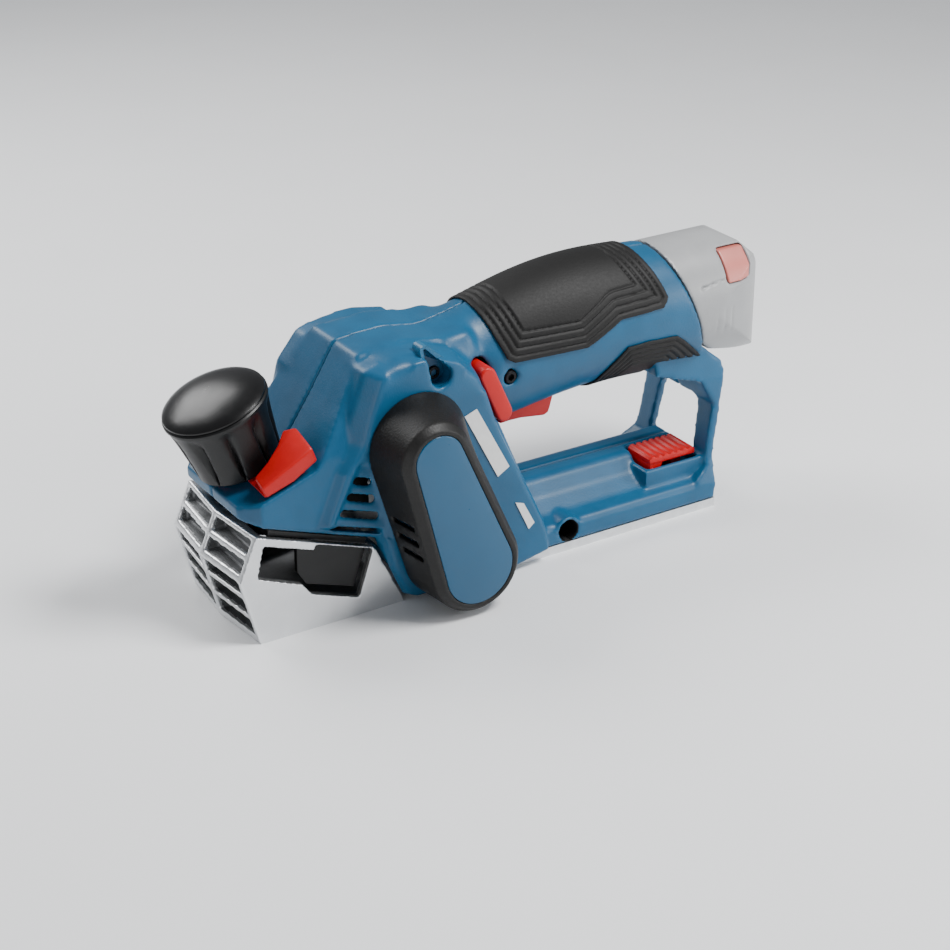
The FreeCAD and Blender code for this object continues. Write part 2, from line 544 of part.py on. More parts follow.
def belt_solid(name, grow):
    """The loop round both pulleys, this far out from their rims."""
    edges = belt_outline((drum_x, drum_z, size("drum_pulley_radius") + grow),
                         (motor_x, motor_z, size("motor_pulley_radius") + grow))
    return padded(name, "XZ_Plane", edges, f"{-belt_y - 9.5}", "Dims.belt_width")


node("drive_belt", cut("DriveBelt", belt_solid("BeltOuter", gap + size("belt_thickness")),
                       belt_solid("BeltInner", gap)))
# Motor end cap on the far flank: a spun cup that closes round the fan.
cap_far, cap_near = size("overall_width") / 2, size("far_boss") + 0.1
cap_outer = [(0, cap_near), (18.6, cap_near), (18.6, 34), (16.2, 41), (10, cap_far), (0, cap_far)]
cap_inner = [(0, cap_near - 1), (16.4, cap_near - 1), (16.4, 33.6), (14.4, 40.2), (8, 47.6), (0, 47.6)]


def spun_along_y(name, points):
    """A (radius, y) outline turned about the motor's axis."""
    body = revolved(name, points)
    body.Placement = Placement(Vector(motor_x, 0, motor_z), Rotation(Vector(1, 0, 0), -90))
    return body


cap_web = cut("CapWeb", cylinder("CapWebForm", "17", "4", motor_x, 35.5, motor_z),
              cylinder("CapWebBore", "Dims.motor_bearing_radius", "20", motor_x, 30, motor_z))
node("motor_cap", fused("MotorCap", cut("CapShell", spun_along_y("CapOuter", cap_outer),
                                        spun_along_y("CapInner", cap_inner)), cap_web))

# ---------------------------------------------------------------- belt cover and its badge
cover_back = ((drum_x, 19.6, 18.6), (-43, 61.2, 19.2))
cover_face = ((drum_x + 0.4, 18.9, 17), (-46.2, 63.2, 13.2))
cover_flat = ((drum_x + 0.4, 18.9, 15), (-46.2, 63.2, 11))
badge_rims = ((drum_x + 0.4, 18.7, 13.2), (-46.2, 63.4, 9.2))


def thinner(rims, amount):
    return tuple((x, z, radius - amount) for x, z, radius in rims)


cover_out, cover_in = size("overall_width") / 2, size("near_boss")
skin = size("cover_wall")
cover_form = side_loft("CoverForm", (-cover_out, belt_outline(*cover_flat)),
                       (-cover_out + 2.4, belt_outline(*cover_face)),
                       (-cover_in - 0.1, belt_outline(*cover_back)))
cover_hollow = side_loft("CoverHollow", (-cover_out + skin, belt_outline(*thinner(cover_face, skin))),
                         (-cover_in, belt_outline(*thinner(cover_back, skin))),
                         (-cover_in + 4, belt_outline(*thinner(cover_back, skin))))
badge_form = padded("BadgeForm", "XZ_Plane", belt_outline(*badge_rims), "Dims.overall_width / 2 - 1", "1")
badge_recess = padded("BadgeRecess", "XZ_Plane", belt_outline(*badge_rims), "Dims.overall_width / 2 - 1", "5")
node("belt_cover", cut("BeltCover", cover_form, cover_hollow, badge_recess))
node("cover_badge", badge_form)

# ---------------------------------------------------------------- grips and labels
grip_outline = [(-5.6, 108), (61, 108), (65.4, 96.5), (68, 88.2), (65, 85), (46.2, 84.4), (32, 76.9),
                (2.6, 77), (-0.4, 78.8), (-3.4, 86), (-6, 95)]
grip_skin = cut("GripSkin", handle_solid("GripOver", size("grip_thickness")), handle_solid("GripUnder", 0))
grip_side = side_pad("GripSide", grip_outline, "40", "80")
node("upper_grip", common("UpperGrip", grip_skin, grip_side))
lower_outline = [(41.6, 62), (40, 48), (66, 48), (84, 56.5), (87, 60), (75.2, 70.4), (71.6, 73), (59, 73.6),
                 (49.6, 73.2), (44.2, 66.6)]
lower_skin = common("LowerSkin", grip_skin, side_pad("LowerSide", lower_outline, "40", "80"))
node("lower_grip", cut("LowerGrip", lower_skin, tail, block("GripClear", (64, -30, 40), (72, 30, 58)),
                       *far_pockets))

label_form = side_pad("LabelForm", [(-24.5, 66.8), (-19.6, 68.6), (-6.2, 43.4), (-11, 40.6)], "-30.1", "0.3")
sticker = side_pad("Sticker", [(-3.5, 28.4), (0, 27.2), (4.6, 18.4), (2.2, 16.4)], "-30.1", "0.3")
node("info_labels", group("InfoLabels", [label_form, sticker]))

# ---------------------------------------------------------------- screws
node("housing_screws", group("HousingScrews", [
    cylinder(f"HousingScrew{index}", "2.6", "10", x, -depth, z)
    for index, (x, z, depth) in enumerate(screw_places)] + [
    cylinder(f"FarHousingScrew{index}", "2.6", "3", x, depth - 3, z)
    for index, (x, z, depth) in enumerate(far_screw_places)]))

# ---------------------------------------------------------------- trigger, lock button and switch
trigger_outline = [(5.6, 47), (14.2, 47.1), (25.1, 45.8), (27.3, 47.6), (29, 53.2), (34, 55), (34, 59.5),
                   (28, 59.5), (8, 52.8), (5.6, 50)]
trigger_pin_hole = cylinder("TriggerPinHole", "1.5 + Dims.shaft_fit", "20", trigger_pivot[0], -10,
                            trigger_pivot[1])
node("trigger", cut("Trigger", side_pad("TriggerForm", trigger_outline, "5.9", "11.8"), trigger_pin_hole))
node("trigger_pin", cylinder("TriggerPin", "1.5", "18", trigger_pivot[0], -9, trigger_pivot[1]))
node("trigger_spring", cut("TriggerSpring", cylinder("SpringForm", "2.4", "4.1", 14, 0, 56, (0, 0, 1)),
                           cylinder("SpringBore", "1.6", "8", 14, 0, 54, (0, 0, 1))))
node("power_switch", block("PowerSwitch", (10, -7, 60.2), (27, 7, 74)))
node("lock_button", padded("LockButton", "XZ_Plane", belt_outline((*lock_low, lock_radius),
                                                                  (*lock_high, lock_radius)), "-24.6", "51"))

# ---------------------------------------------------------------- parking rest
rest_outline = [(65, 15.4), (70, 15.4), (72, 19.8), (86.2, 19.8), (86.2, 23), (65, 23)]
rest_pad = side_pad("RestPad", rest_outline, "-3.4", "14.2")
rest_stem = block("RestStem", (79.4, -12, 0.4), (84.2, -8.6, 21))
rest_bore = cylinder("RestBore", "1.2 + Dims.shaft_fit", "30", rest_pivot[0], -30, rest_pivot[1])
node("parking_rest", cut("ParkingRest", fused("RestForm", rest_pad, rest_stem), rest_bore))
node("parking_pin", cylinder("ParkingPin", "1.2", "17", rest_pivot[0], -19, rest_pivot[1]))

# ---------------------------------------------------------------- electronics
node("control_board", block("ControlBoard", (-42, -13, 83), (-14, 13, 86.5)))
node("motor_leads", group("MotorLeads", [
    cylinder(f"MotorLead{index}", "1.1", "8.4", motor_x, y, 74.5, (0, 0, 1)) for index, y in enumerate((-6, 0, 6))]))
node("terminal_block", block("TerminalBlock", (12, -9, 76), (17, 9, 90)))

# ---------------------------------------------------------------- battery
battery_axis_z = 77.2
battery_rear = size("overall_length") / 2
# Side profile: the top rolls over to a near upright back and a rounded lower corner.
battery_side = [(66, 48), (66, 103), (99, 103), (108, 99), (116, 89.5), (battery_rear - 0.8, 72), (battery_rear, 60),
                (battery_rear - 0.6, 54.5), (battery_rear - 3, 51.5), (110, 50.6), (90, 48)]


battery_body = document.addObject("PartDesign::Body", "BatteryBody")
battery_ellipse = Part.Ellipse(Vector(0, battery_axis_z, 0), size("battery_half_height"),
                               size("battery_half_width"))
battery_ellipse.AngleXU = math.pi / 2
battery_sketch = sketch_in(battery_body, "YZ_Plane", [battery_ellipse], "66")
battery_pad = battery_body.newObject("PartDesign::Pad", "BatteryPad")
battery_pad.Profile = battery_sketch
battery_pad.setExpression("Length", "Dims.overall_length / 2 - 66")
# In plan the rear end is a half ellipse, as deep as battery_round.
round_centre_x = battery_rear - size("battery_round")
battery_round = document.addObject("PartDesign::Body", "BatteryRound")
round_ellipse = Part.Ellipse(Vector(round_centre_x, 0, 0), size("battery_round"), size("battery_half_width") + 0.1)
round_sketch = sketch_in(battery_round, "XY_Plane", [round_ellipse], "40")
round_pad = battery_round.newObject("PartDesign::Pad", "BatteryRoundPad")
round_pad.Profile = round_sketch
round_pad.setExpression("Length", "70")
battery_plan = fused("BatteryPlan", battery_round, block("BatteryFront", (60, -22, 40), (round_centre_x, 22, 110)))
battery_form = common("BatteryForm", battery_body, side_pad("BatterySide", battery_side[::-1], "30", "60"),
                      battery_plan)
behind_rim = side_pad("BehindRim", [(rim_top_x + 0.9, 106), (rim_low_x + 0.9, 58), (rim_low_x + 4, 40),
                                    (130, 40), (130, 106)], "30", "60")
tail_clear = side_pad("TailClear", [(60, 62), (84.6, 67.0), (91.4, 61), (130, 49.6), (130, 30), (60, 30)],
                      "30", "60")
button_pockets = [block(f"ButtonPocket_{side}", (96.6, low, 86.8), (108.4, high, 98))
                  for side, low, high in (("near", -30, -6.1), ("far", 6.1, 30))]
battery_cap = cut("BatteryCap", common("BatteryCapForm", battery_form, behind_rim), tail_clear,
                  *button_pockets)
node("battery_case", battery_cap)
node("battery_stem", cut("BatteryStem", fused("StemForm", *[
    cylinder(f"Cell{index}", "9", "54", 30, y, z, (1, 0, 0))
    for index, (y, z) in enumerate(((-9.1, 74), (9.1, 74), (0, 89.5)))]), battery_cap))
for side, low in (("near", -1), ("far", 1)):
    node(f"release_button_{side}", common(
        f"ReleaseButton_{side}",
        block(f"ReleaseForm_{side}", (97, 8.6 if low > 0 else -30, 87.2), (108, 30 if low > 0 else -8.6, 97.6)),
        battery_form))

# ---------------------------------------------------------------- check and write
document.recompute()
for item in document.Objects:
    if "Invalid" in item.State or "Error" in item.State:
        raise RuntimeError(f"{item.Name} ({item.Label}) did not build: {item.State}")
for item in sub_parts:
    if item.Shape.isNull() or not item.Shape.isValid() or not item.Shape.Solids:
        raise RuntimeError(f"{item.Label} has no valid solid")

os.makedirs("parts", exist_ok=True)
for item in sub_parts:
    item.Shape.exportStep(f"parts/{item.Label}.step")
    box = item.Shape.BoundBox
    print(f"{item.Label:22s} solids {len(item.Shape.Solids)} volume {item.Shape.Volume:9.0f}"
          f"  x {box.XMin:7.1f} {box.XMax:7.1f}  y {box.YMin:6.1f} {box.YMax:6.1f}"
          f"  z {box.ZMin:6.1f} {box.ZMax:6.1f}")
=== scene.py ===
"""Looks of the cordless hand planer, built round its CAD frame. Metres, +X towards the battery."""

import math

import bpy
import numpy as np
from mathutils import Matrix, Vector


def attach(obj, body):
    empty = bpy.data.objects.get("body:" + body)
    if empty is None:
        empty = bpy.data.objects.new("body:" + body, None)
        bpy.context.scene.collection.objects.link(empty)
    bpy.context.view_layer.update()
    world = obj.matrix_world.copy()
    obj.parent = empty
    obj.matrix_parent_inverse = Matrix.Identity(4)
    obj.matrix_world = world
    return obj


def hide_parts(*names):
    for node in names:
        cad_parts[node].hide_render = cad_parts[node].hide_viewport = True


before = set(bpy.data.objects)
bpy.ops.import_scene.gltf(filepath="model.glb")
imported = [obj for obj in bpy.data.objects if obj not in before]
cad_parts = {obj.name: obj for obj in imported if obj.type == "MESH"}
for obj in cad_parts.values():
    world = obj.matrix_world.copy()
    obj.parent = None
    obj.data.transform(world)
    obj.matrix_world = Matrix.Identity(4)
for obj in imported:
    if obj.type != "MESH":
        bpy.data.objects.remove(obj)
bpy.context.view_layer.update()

# ---------------------------------------------------------------- camera, light and floor
# A long lens looks down on the planer's nose and its belt side. Four soft boxes and a dim
# room light it, and it stands on a plain pale floor.
aim, distance = Vector((0.0018, 0, 0.045)), 0.76684
azimuth, elevation = math.radians(-32.43), math.radians(24.8)
away = Vector((math.sin(azimuth) * math.cos(elevation), -math.cos(azimuth) * math.cos(elevation),
               math.sin(elevation)))
camera_data = bpy.data.cameras.new("camera")
camera_data.lens = 80.27
camera_data.shift_x, camera_data.shift_y = -0.0076, -0.0513
camera = bpy.data.objects.new("camera", camera_data)
camera.location = aim + away * distance
camera.rotation_euler = away.to_track_quat("Z", "Y").to_euler()
bpy.context.collection.objects.link(camera)
bpy.context.scene.camera = camera

world = bpy.data.worlds.new("studio")
world.use_nodes = True
world.node_tree.nodes["Background"].inputs["Color"].default_value = (0.93, 0.95, 1, 1)
world.node_tree.nodes["Background"].inputs["Strength"].default_value = 0.3
bpy.context.scene.world = world

for name, place, width, power in (("key", (0.3, -0.35, 0.8), 0.3, 10),
                                  ("side", (0.75, -0.6, 0.3), 0.35, 4.5),
                                  ("back", (-0.25, 0.55, 0.6), 0.5, 6),
                                  ("nose", (-0.7, -0.5, 0.15), 0.25, 0.9)):
    light = bpy.data.lights.new(name, "AREA")
    light.size, light.energy = width, power
    lamp = bpy.data.objects.new(name, light)
    lamp.location = place
    lamp.rotation_euler = (Vector(place) - aim).to_track_quat("Z", "Y").to_euler()
    bpy.context.collection.objects.link(lamp)


def surface(name, colour, roughness, metallic=0.0, mottle=0.06, patch=90, grain=1600, depth=0.00004,
            uneven=0.06, edge_highlight=None, specular=0.5):
    """A finish with colour mottle, uneven gloss, fine grain and, if an edge colour is given, a painted
    highlight that lightens its sharp edges.
    """
    material = bpy.data.materials.new(name)
    material.use_nodes = True
    nodes, link = material.node_tree.nodes, material.node_tree.links.new
    shader = nodes["Principled BSDF"]
    shader.inputs["Metallic"].default_value = metallic
    shader.inputs["Specular IOR Level"].default_value = specular
    place = nodes.new("ShaderNodeTexCoord").outputs["Object"]

    def noise(scale, detail):
        texture = nodes.new("ShaderNodeTexNoise")
        texture.inputs["Scale"].default_value = scale
        texture.inputs["Detail"].default_value = detail
        link(place, texture.inputs["Vector"])
        return texture.outputs["Fac"]

    shades = nodes.new("ShaderNodeValToRGB")
    for stop, amount in zip(shades.color_ramp.elements, (1 - mottle, 1 + mottle)):
        stop.color = (*(min(1, part * amount) for part in colour), 1)
    shades.color_ramp.elements[0].position, shades.color_ramp.elements[1].position = 0.35, 0.65
    link(noise(patch, 3), shades.inputs["Fac"])
    base = shades.outputs["Color"]
    # Painted highlight: sharp convex edges (high pointiness) are mixed towards the lighter edge colour.
    if edge_highlight:
        edge = nodes.new("ShaderNodeMapRange")
        edge.inputs["From Min"].default_value, edge.inputs["From Max"].default_value = 0.53, 0.62
        edge.inputs["To Max"].default_value = 0.6
        link(nodes.new("ShaderNodeNewGeometry").outputs["Pointiness"], edge.inputs["Value"])
        edge_lit = nodes.new("ShaderNodeMix")
        edge_lit.data_type = "RGBA"
        link(edge.outputs["Result"], edge_lit.inputs["Factor"])
        link(base, edge_lit.inputs["A"])
        edge_lit.inputs["B"].default_value = (*edge_highlight, 1)
        base = edge_lit.outputs["Result"]
    link(base, shader.inputs["Base Color"])
    gloss = nodes.new("ShaderNodeMapRange")
    gloss.inputs["To Min"].default_value = roughness - uneven
    gloss.inputs["To Max"].default_value = roughness + uneven
    link(noise(patch * 4, 4), gloss.inputs["Value"])
    link(gloss.outputs["Result"], shader.inputs["Roughness"])
    bump = nodes.new("ShaderNodeBump")
    bump.inputs["Distance"].default_value = depth
    bump.inputs["Strength"].default_value = 0.8
    link(noise(grain, 2), bump.inputs["Height"])
    link(bump.outputs["Normal"], shader.inputs["Normal"])
    return material


bpy.ops.object.select_all(action="DESELECT")
bpy.ops.mesh.primitive_plane_add(size=6)
floor = bpy.context.object
floor.name = "floor"
pale_floor = surface("pale_floor", (0.86, 0.87, 0.88), 0.6, mottle=0.01, patch=6, grain=300)
floor.data.materials.append(pale_floor)

# ---------------------------------------------------------------- housing shells
# Two glass-filled nylon mouldings with fine spark texture, screwed together on the centre plane.
# Their edges are softly rounded by the tool, and the handle flows into the crown.
blue_plastic = surface("blue_plastic", (0.004, 0.080, 0.172), 0.4, mottle=0.07, grain=1500, depth=0.00006,
                       edge_highlight=(0.02, 0.15, 0.27), specular=0.4)
MILLIMETRE = 0.001


def only(piece):
    """Select one object and make it active."""
    bpy.ops.object.select_all(action="DESELECT")
    piece.select_set(True)
    bpy.context.view_layer.objects.active = piece


def apply(piece, kind, **values):
    """Add a modifier, set it and apply it."""
    only(piece)
    modifier = piece.modifiers.new(kind.lower(), kind)
    for key, value in values.items():
        setattr(modifier, key, value)
    bpy.ops.object.modifier_apply(modifier=modifier.name)


def all_faces(*steps):
    """Run edit-mode operators on the whole of the active mesh, then face every wall outwards."""
    bpy.ops.object.mode_set(mode="EDIT")
    bpy.ops.mesh.select_all(action="SELECT")
    bpy.ops.mesh.remove_doubles(threshold=1e-6)
    for step in steps:
        step()
    bpy.ops.mesh.normals_make_consistent(inside=False)
    bpy.ops.object.mode_set(mode="OBJECT")


def copy_of(node, name):
    """A merged, closed copy of a CAD node's mesh, free to be worked on."""
    piece = bpy.data.objects.new(name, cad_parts[node].data.copy())
    bpy.context.collection.objects.link(piece)
    only(piece)
    bpy.ops.object.mode_set(mode="EDIT")
    bpy.ops.mesh.select_all(action="SELECT")
    bpy.ops.mesh.remove_doubles(threshold=1e-6)
    bpy.ops.object.mode_set(mode="OBJECT")
    return piece


def built(name, rings):
    """A closed form through rings of (x, y, z) millimetre points; the first and last ring are filled."""
    bpy.ops.object.select_all(action="DESELECT")
    bpy.ops.mesh.primitive_circle_add(vertices=len(rings[0]), radius=0.01, fill_type="NGON")
    piece = bpy.context.object
    piece.name = name
    rings = [[Vector(point) * MILLIMETRE for point in ring] for ring in rings]
    for vertex, point in zip(piece.data.vertices, rings[0]):
        vertex.co = point
    for last, ring in zip(rings, rings[1:]):
        bpy.ops.object.mode_set(mode="EDIT")
        bpy.ops.mesh.extrude_region_move()
        bpy.ops.object.mode_set(mode="OBJECT")
        for vertex in piece.data.vertices:
            if vertex.select:
                nearest = min(range(len(last)),
                              key=lambda index: (vertex.co - last[index]).length_squared)
                vertex.co = ring[nearest]
    all_faces()
    return piece


def side(outline, y):
    """A side-view outline (x, z) set at one y."""
    return [(x, y, z) for x, z in outline]


def turned(name, outline, steps=96):
    """A form spun round +Z from a closed (radius, height) outline in millimetres."""
    bpy.ops.object.select_all(action="DESELECT")
    bpy.ops.mesh.primitive_circle_add(vertices=len(outline), radius=0.01, fill_type="NOTHING")
    piece = bpy.context.object
    piece.name = name
    for vertex, (radius, height) in zip(piece.data.vertices, outline):
        vertex.co = Vector((radius, 0, height)) * MILLIMETRE
    bpy.ops.object.mode_set(mode="EDIT")
    bpy.ops.mesh.select_all(action="SELECT")
    bpy.ops.mesh.spin(steps=steps, angle=2 * math.pi, center=(0, 0, 0), axis=(0, 0, 1))
    bpy.ops.object.mode_set(mode="OBJECT")
    all_faces(lambda: bpy.ops.mesh.delete_loose(use_verts=True, use_edges=True, use_faces=False))
    return piece


def put(piece, at, up):
    """Stand a piece made at the origin on a point, in millimetres, with its +Z along a direction."""
    piece.matrix_world = (Matrix.Translation(Vector(at) * MILLIMETRE)
                          @ Vector(up).to_track_quat("Z", "Y").to_matrix().to_4x4())
    only(piece)
    bpy.ops.object.transform_apply(location=True, rotation=True, scale=True)
    return piece


def cut_away(piece, *tools):
    """Take each tool's form out of the piece."""
    for tool in tools:
        apply(piece, "BOOLEAN", operation="DIFFERENCE", object=tool, solver="EXACT")
        bpy.data.objects.remove(tool)


def joined(name, *pieces):
    """Several forms made into one piece."""
    only(pieces[0])
    for piece in pieces[1:]:
        piece.select_set(True)
    bpy.ops.object.join()
    pieces[0].name = name
    return pieces[0]


def rounded(piece, width, segments=3, angle=30):
    apply(piece, "BEVEL", width=width * MILLIMETRE, segments=segments, limit_method="ANGLE",
          angle_limit=math.radians(angle))
    return piece


def points_of(piece):
    """The piece's vertices as an array of millimetres."""
    flat = np.empty(len(piece.data.vertices) * 3)
    piece.data.vertices.foreach_get("co", flat)
    return flat.reshape(-1, 3) / MILLIMETRE


def softened(piece, rounds, inside=None):
    """Smooth the whole piece, or only the vertices whose x, y and z pass a test."""
    group = ""
    if inside:
        chosen = piece.vertex_groups.new(name="soft")
        chosen.add([int(index) for index in np.flatnonzero(inside(*points_of(piece).T))], 1, "REPLACE")
        group = chosen.name
    apply(piece, "SMOOTH", factor=0.5, iterations=rounds, vertex_group=group)
    piece.vertex_groups.clear()


def finish(piece, material, body, slot, *nodes, crease=40):
    """Give a finished piece its material and smooth shading, put it on its body and hide the CAD nodes
    that it stands for. The slot is not used.
    """
    piece.data.materials.clear()
    piece.data.materials.append(material)
    only(piece)
    bpy.ops.object.shade_smooth_by_angle(angle=math.radians(crease))
    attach(piece, body)
    if nodes:
        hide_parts(*nodes)


def round_hull(first, second, count=48):
    """The outline (x, z) round two circles (x, z, radius) and their outer tangents."""
    (xa, za, ra), (xb, zb, rb) = first, second
    along = math.atan2(zb - za, xb - xa)
    lean = math.acos((ra - rb) / math.hypot(xb - xa, zb - za))
    half = count // 2
    sweep = [(xb, zb, rb, along - lean + 2 * lean * step / (half - 1)) for step in range(half)]
    sweep += [(xa, za, ra, along + lean + 2 * (math.pi - lean) * step / (half - 1))
              for step in range(half)]
    return [(x + radius * math.cos(angle), z + radius * math.sin(angle)) for x, z, radius, angle in sweep]


# The near flank has a deep tear-shaped screw recess, a sunk vent field and a shallow ring on the nose.
# The recess is a hull round two (x, z) centres, and its screw sits near the lower one.
recess_low, recess_tip = (-33, 83.4), (-38.6, 93.6)
vent_field = [(-77.6, 36.2), (-53, 27.2), (-60.4, 57.5), (-65.2, 59.6)]
guide_x, guide_z = 22.8, 7.9
hole_shade_reach, flank_skin = 4.5, 25.7
rim_x, rim_z = -34, 86
shell_voxel = 0.00078
# Near-black matte used as painted shade, in the guide holes and behind the vents.
shade_black = surface("shade_black", (0.002, 0.002, 0.002), 0.55, grain=1200, depth=0.00003,
                        specular=0.3)
for flank in ("near", "far"):
    shell = copy_of(f"housing_{flank}", f"shell_{flank}")
    if flank == "near":
        tear = built("tear", [side(round_hull((*recess_low, 4.6), (*recess_tip, 0.9)), -37),
                              side(round_hull((*recess_low, 3.6), (*recess_tip, 0.5)), -24)])
        field = built("field", [side(vent_field, -33), side(vent_field, -29.1)])
        ring = put(turned("ring", [(6.2, 0), (6.2, 2), (5.3, 2), (5.3, 0)], 48), (-86.6, -27.5, 46),
                   (0, 1, 0))
        cut_away(shell, tear, field, ring)
    apply(shell, "REMESH", mode="VOXEL", voxel_size=shell_voxel)
    softened(shell, 4)
    # The crown is softened twice, but neither the seam on the centre plane nor the recess's rim.
    softened(shell, 12, lambda x, y, z: (z > 60) & (x < 15) & (abs(y) > 0.9)
             & (np.hypot(x - rim_x, z - rim_z) > 11))
    softened(shell, 90, lambda x, y, z: (z > 74) & (x > -54) & (x < 7) & (abs(y) > 1.3)
             & (np.hypot(x - rim_x, z - rim_z) > 10.5))
    # The opening over the front shoe is trimmed back to a crisp edge, clear of the shoe's whole lift.
    lifted_shoe = [(-114, -1), (-45.9, -1), (-46.6, 2.2), (-58.2, 27.2), (-103, 43.2), (-114, 44)]
    cut_away(shell, built("sweep", [side(lifted_shoe, y) for y in (-26.8, 26.8)]))
    finish(shell, blue_plastic, "root", "blue_shell", f"housing_{flank}", crease=50)
    # The walls of the guide holes are painted near black as shade.
    shell.data.materials.append(shade_black)
    for face in shell.data.polygons:
        x, y, z = face.center / MILLIMETRE
        if math.hypot(x - guide_x, z - guide_z) < hole_shade_reach and abs(y) < flank_skin:
            face.material_index = 1

# The deep screw recess ends in a cup of its own, with a hole for the screw.
# It is a moulded blue part of the near shell.
cup_outer = round_hull((*recess_low, 5.8), (*recess_tip, 1.8))
cup_inner = round_hull((*recess_low, 3.9), (*recess_tip, 0.6))
cup = built("recess_cup", [side(cup_outer, y) for y in (-27.9, -22.8)])
hollow = built("hollow", [side(cup_inner, y) for y in (-29, -23.8)])
bore = put(turned("bore", [(0, 0), (2.7, 0), (2.7, 9), (0, 9)], 36), (-33, -29, 83), (0, 1, 0))
cut_away(cup, hollow, bore)
finish(cup, blue_plastic, "root", "blue_shell")

# Behind the vents a flat near-black sheet inside the near shell is painted shade for the motor space.
shade_sheet_outline = [(-77, 41), (-57.5, 36), (-58, 58), (-66, 59.5)]
shade_sheet = built("vent_shade_sheet", [side(shade_sheet_outline, y) for y in (-21.2, -20.5)])
finish(shade_sheet, shade_black, "root", "black_plastic")

# ---------------------------------------------------------------- front shoe
# A pressure casting in aluminium, linished on its flanks and sole; the walls inside its grille cells take
# a dark metal as painted shade.
# It slides up the open nose when the knob turns.
cast_aluminium = surface("cast_aluminium", (0.74, 0.75, 0.76), 0.36, 1.0, mottle=0.04, grain=1100,
                         depth=0.00005)
# Dark grey metal painted into the grille cells as their shade.
cell_shade_metal = surface("cell_shade_metal", (0.20, 0.205, 0.21), 0.55, 0.9, mottle=0.2, patch=120, grain=900,
                      depth=0.0001)
shoe = copy_of("front_shoe", "shoe_casting")
apply(shoe, "REMESH", mode="VOXEL", voxel_size=0.0005)
softened(shoe, 2)
finish(shoe, cast_aluminium, "front_shoe", "cast_aluminium", "front_shoe", crease=50)
shoe.data.materials.append(cell_shade_metal)
centres = np.array([face.center[:] for face in shoe.data.polygons]) / MILLIMETRE
x, y, z = centres[:, 0], abs(centres[:, 1]), centres[:, 2]
# The shoe's front leans out up to its knee, leans back above it and bows forward at mid-width.
toe_x, knee_z, top_z, half_width = -103.2, 25, 40.5, 26
front = (toe_x - 6.3 * np.minimum(z, knee_z) / knee_z
         + 6.6 * np.maximum(z - knee_z, 0) / (top_z - knee_z) - 2.5 * (1 - y / half_width))
skin, top_slope = 1.5, 0.36
# Faces behind the front skin, inside the grille cells, take the dark metal: painted shade in the pockets.
shaded_cells = ((x - front > skin) & (y < 24.6) & (z > 1) & (z < 39.5 - top_slope * (x + 103)))
shoe.data.polygons.foreach_set("material_index", shaded_cells.astype(np.int32))

# ---------------------------------------------------------------- depth knob
# Black nylon knob with a domed lid, a bright rim line and tapered flutes for the fingers.
# It turns on the slanted steel spindle of the front shoe.
black_plastic = surface("black_plastic", (0.0025, 0.0025, 0.0027), 0.38, mottle=0.1, grain=1400,
                        depth=0.00003, edge_highlight=(0.012, 0.012, 0.012), specular=0.35)
knob_tilt = math.radians(19.8)
knob_up = (-math.sin(knob_tilt), 0, math.cos(knob_tilt))
knob_foot = (-95, 0, 56.4)
knob_outline = [(6.4, 0.2), (13.9, 0.2), (15, 1.2), (15.2, 3), (15.5, 6), (15.9, 9), (16.3, 12),
                (16.7, 15), (17.2, 18), (17.8, 21), (18.3, 22.9), (18.6, 23.6), (18.6, 24.4),
                (18.1, 24.9), (6.4, 24.9)]
knob = turned("knob_body", knob_outline, 180)
# Each flute is a V that widens from the foot to just under the rim, where it runs out.
flutes, flute_low, flute_high, flute_run_out, flute_depth = 10, 2, 22, 4, 0.1
for vertex in knob.data.vertices:
    x, y, z = vertex.co / MILLIMETRE
    if flute_low < z < flute_high and math.hypot(x, y) > 14:
        turn = math.atan2(y, x) * flutes / (2 * math.pi) % 1 - 0.5
        reach = 0.04 + 0.24 * (z - flute_low) / (flute_high - flute_low)
        if abs(turn) < reach:
            fade = min(1, (flute_high - z) / flute_run_out)
            inward = 1 - flute_depth * (1 - abs(turn) / reach) * fade
            vertex.co.x, vertex.co.y = vertex.co.x * inward, vertex.co.y * inward
finish(put(knob, knob_foot, knob_up), black_plastic, "depth_knob", "black_plastic", "depth_knob",
       crease=25)
lid_outline = [(0, 25), (17.7, 25), (18.2, 25.3), (18.1, 25.8), (17.2, 26.6), (15, 27.7), (12, 28.8),
               (8.5, 29.6), (4.5, 30.1), (0, 30.2)]
satin_black = surface("satin_black", (0.0025, 0.0025, 0.0027), 0.3, mottle=0.1, grain=1400,
                      depth=0.00002, specular=0.4)
lid = put(turned("knob_lid", lid_outline, 120), knob_foot, knob_up)
finish(lid, satin_black, "depth_knob", "black_plastic", "knob_cap", crease=35)

# ---------------------------------------------------------------- chip selector
# Red nylon ring under the knob, with a thumb wedge that hugs the knob and tells which way chips leave.
# It is built in the knob's own axes, with z along the spindle, then tilted with it.
red_plastic = surface("red_plastic", (0.46, 0.002, 0.002), 0.36, mottle=0.05, grain=1400, depth=0.00003,
                      edge_highlight=(0.55, 0.01, 0.01), specular=0.35)
ring = turned("selector_ring", [(6.2, -1.9), (10.5, -1.9), (10.5, -0.6), (6.2, -0.6)], 72)
wedge_plan = [(-4, -25.2), (7, -25.8), (17.2, -25.8), (17.4, -17), (13.3, -15.4), (9, -17.6), (3, -19.4),
              (-3.4, -19.8)]
wedge_feet = [-1.9, -1.9, 0.3, 0.5, -1.9, -1.9, -1.9, -1.9]
wedge_tops = [2.2, 4.2, 5.6, 10.6, 11.4, 9, 6.6, 4.4]
wedge = built("wedge", [[(x, y, height) for (x, y), height in zip(wedge_plan, heights)]
                        for heights in (wedge_feet, wedge_tops)])
arm_plan = [(-4, -24), (12, -24), (8, -7), (-3, -7)]
arm = built("arm", [[(x, y, z) for x, y in arm_plan] for z in (-1.9, -0.6)])
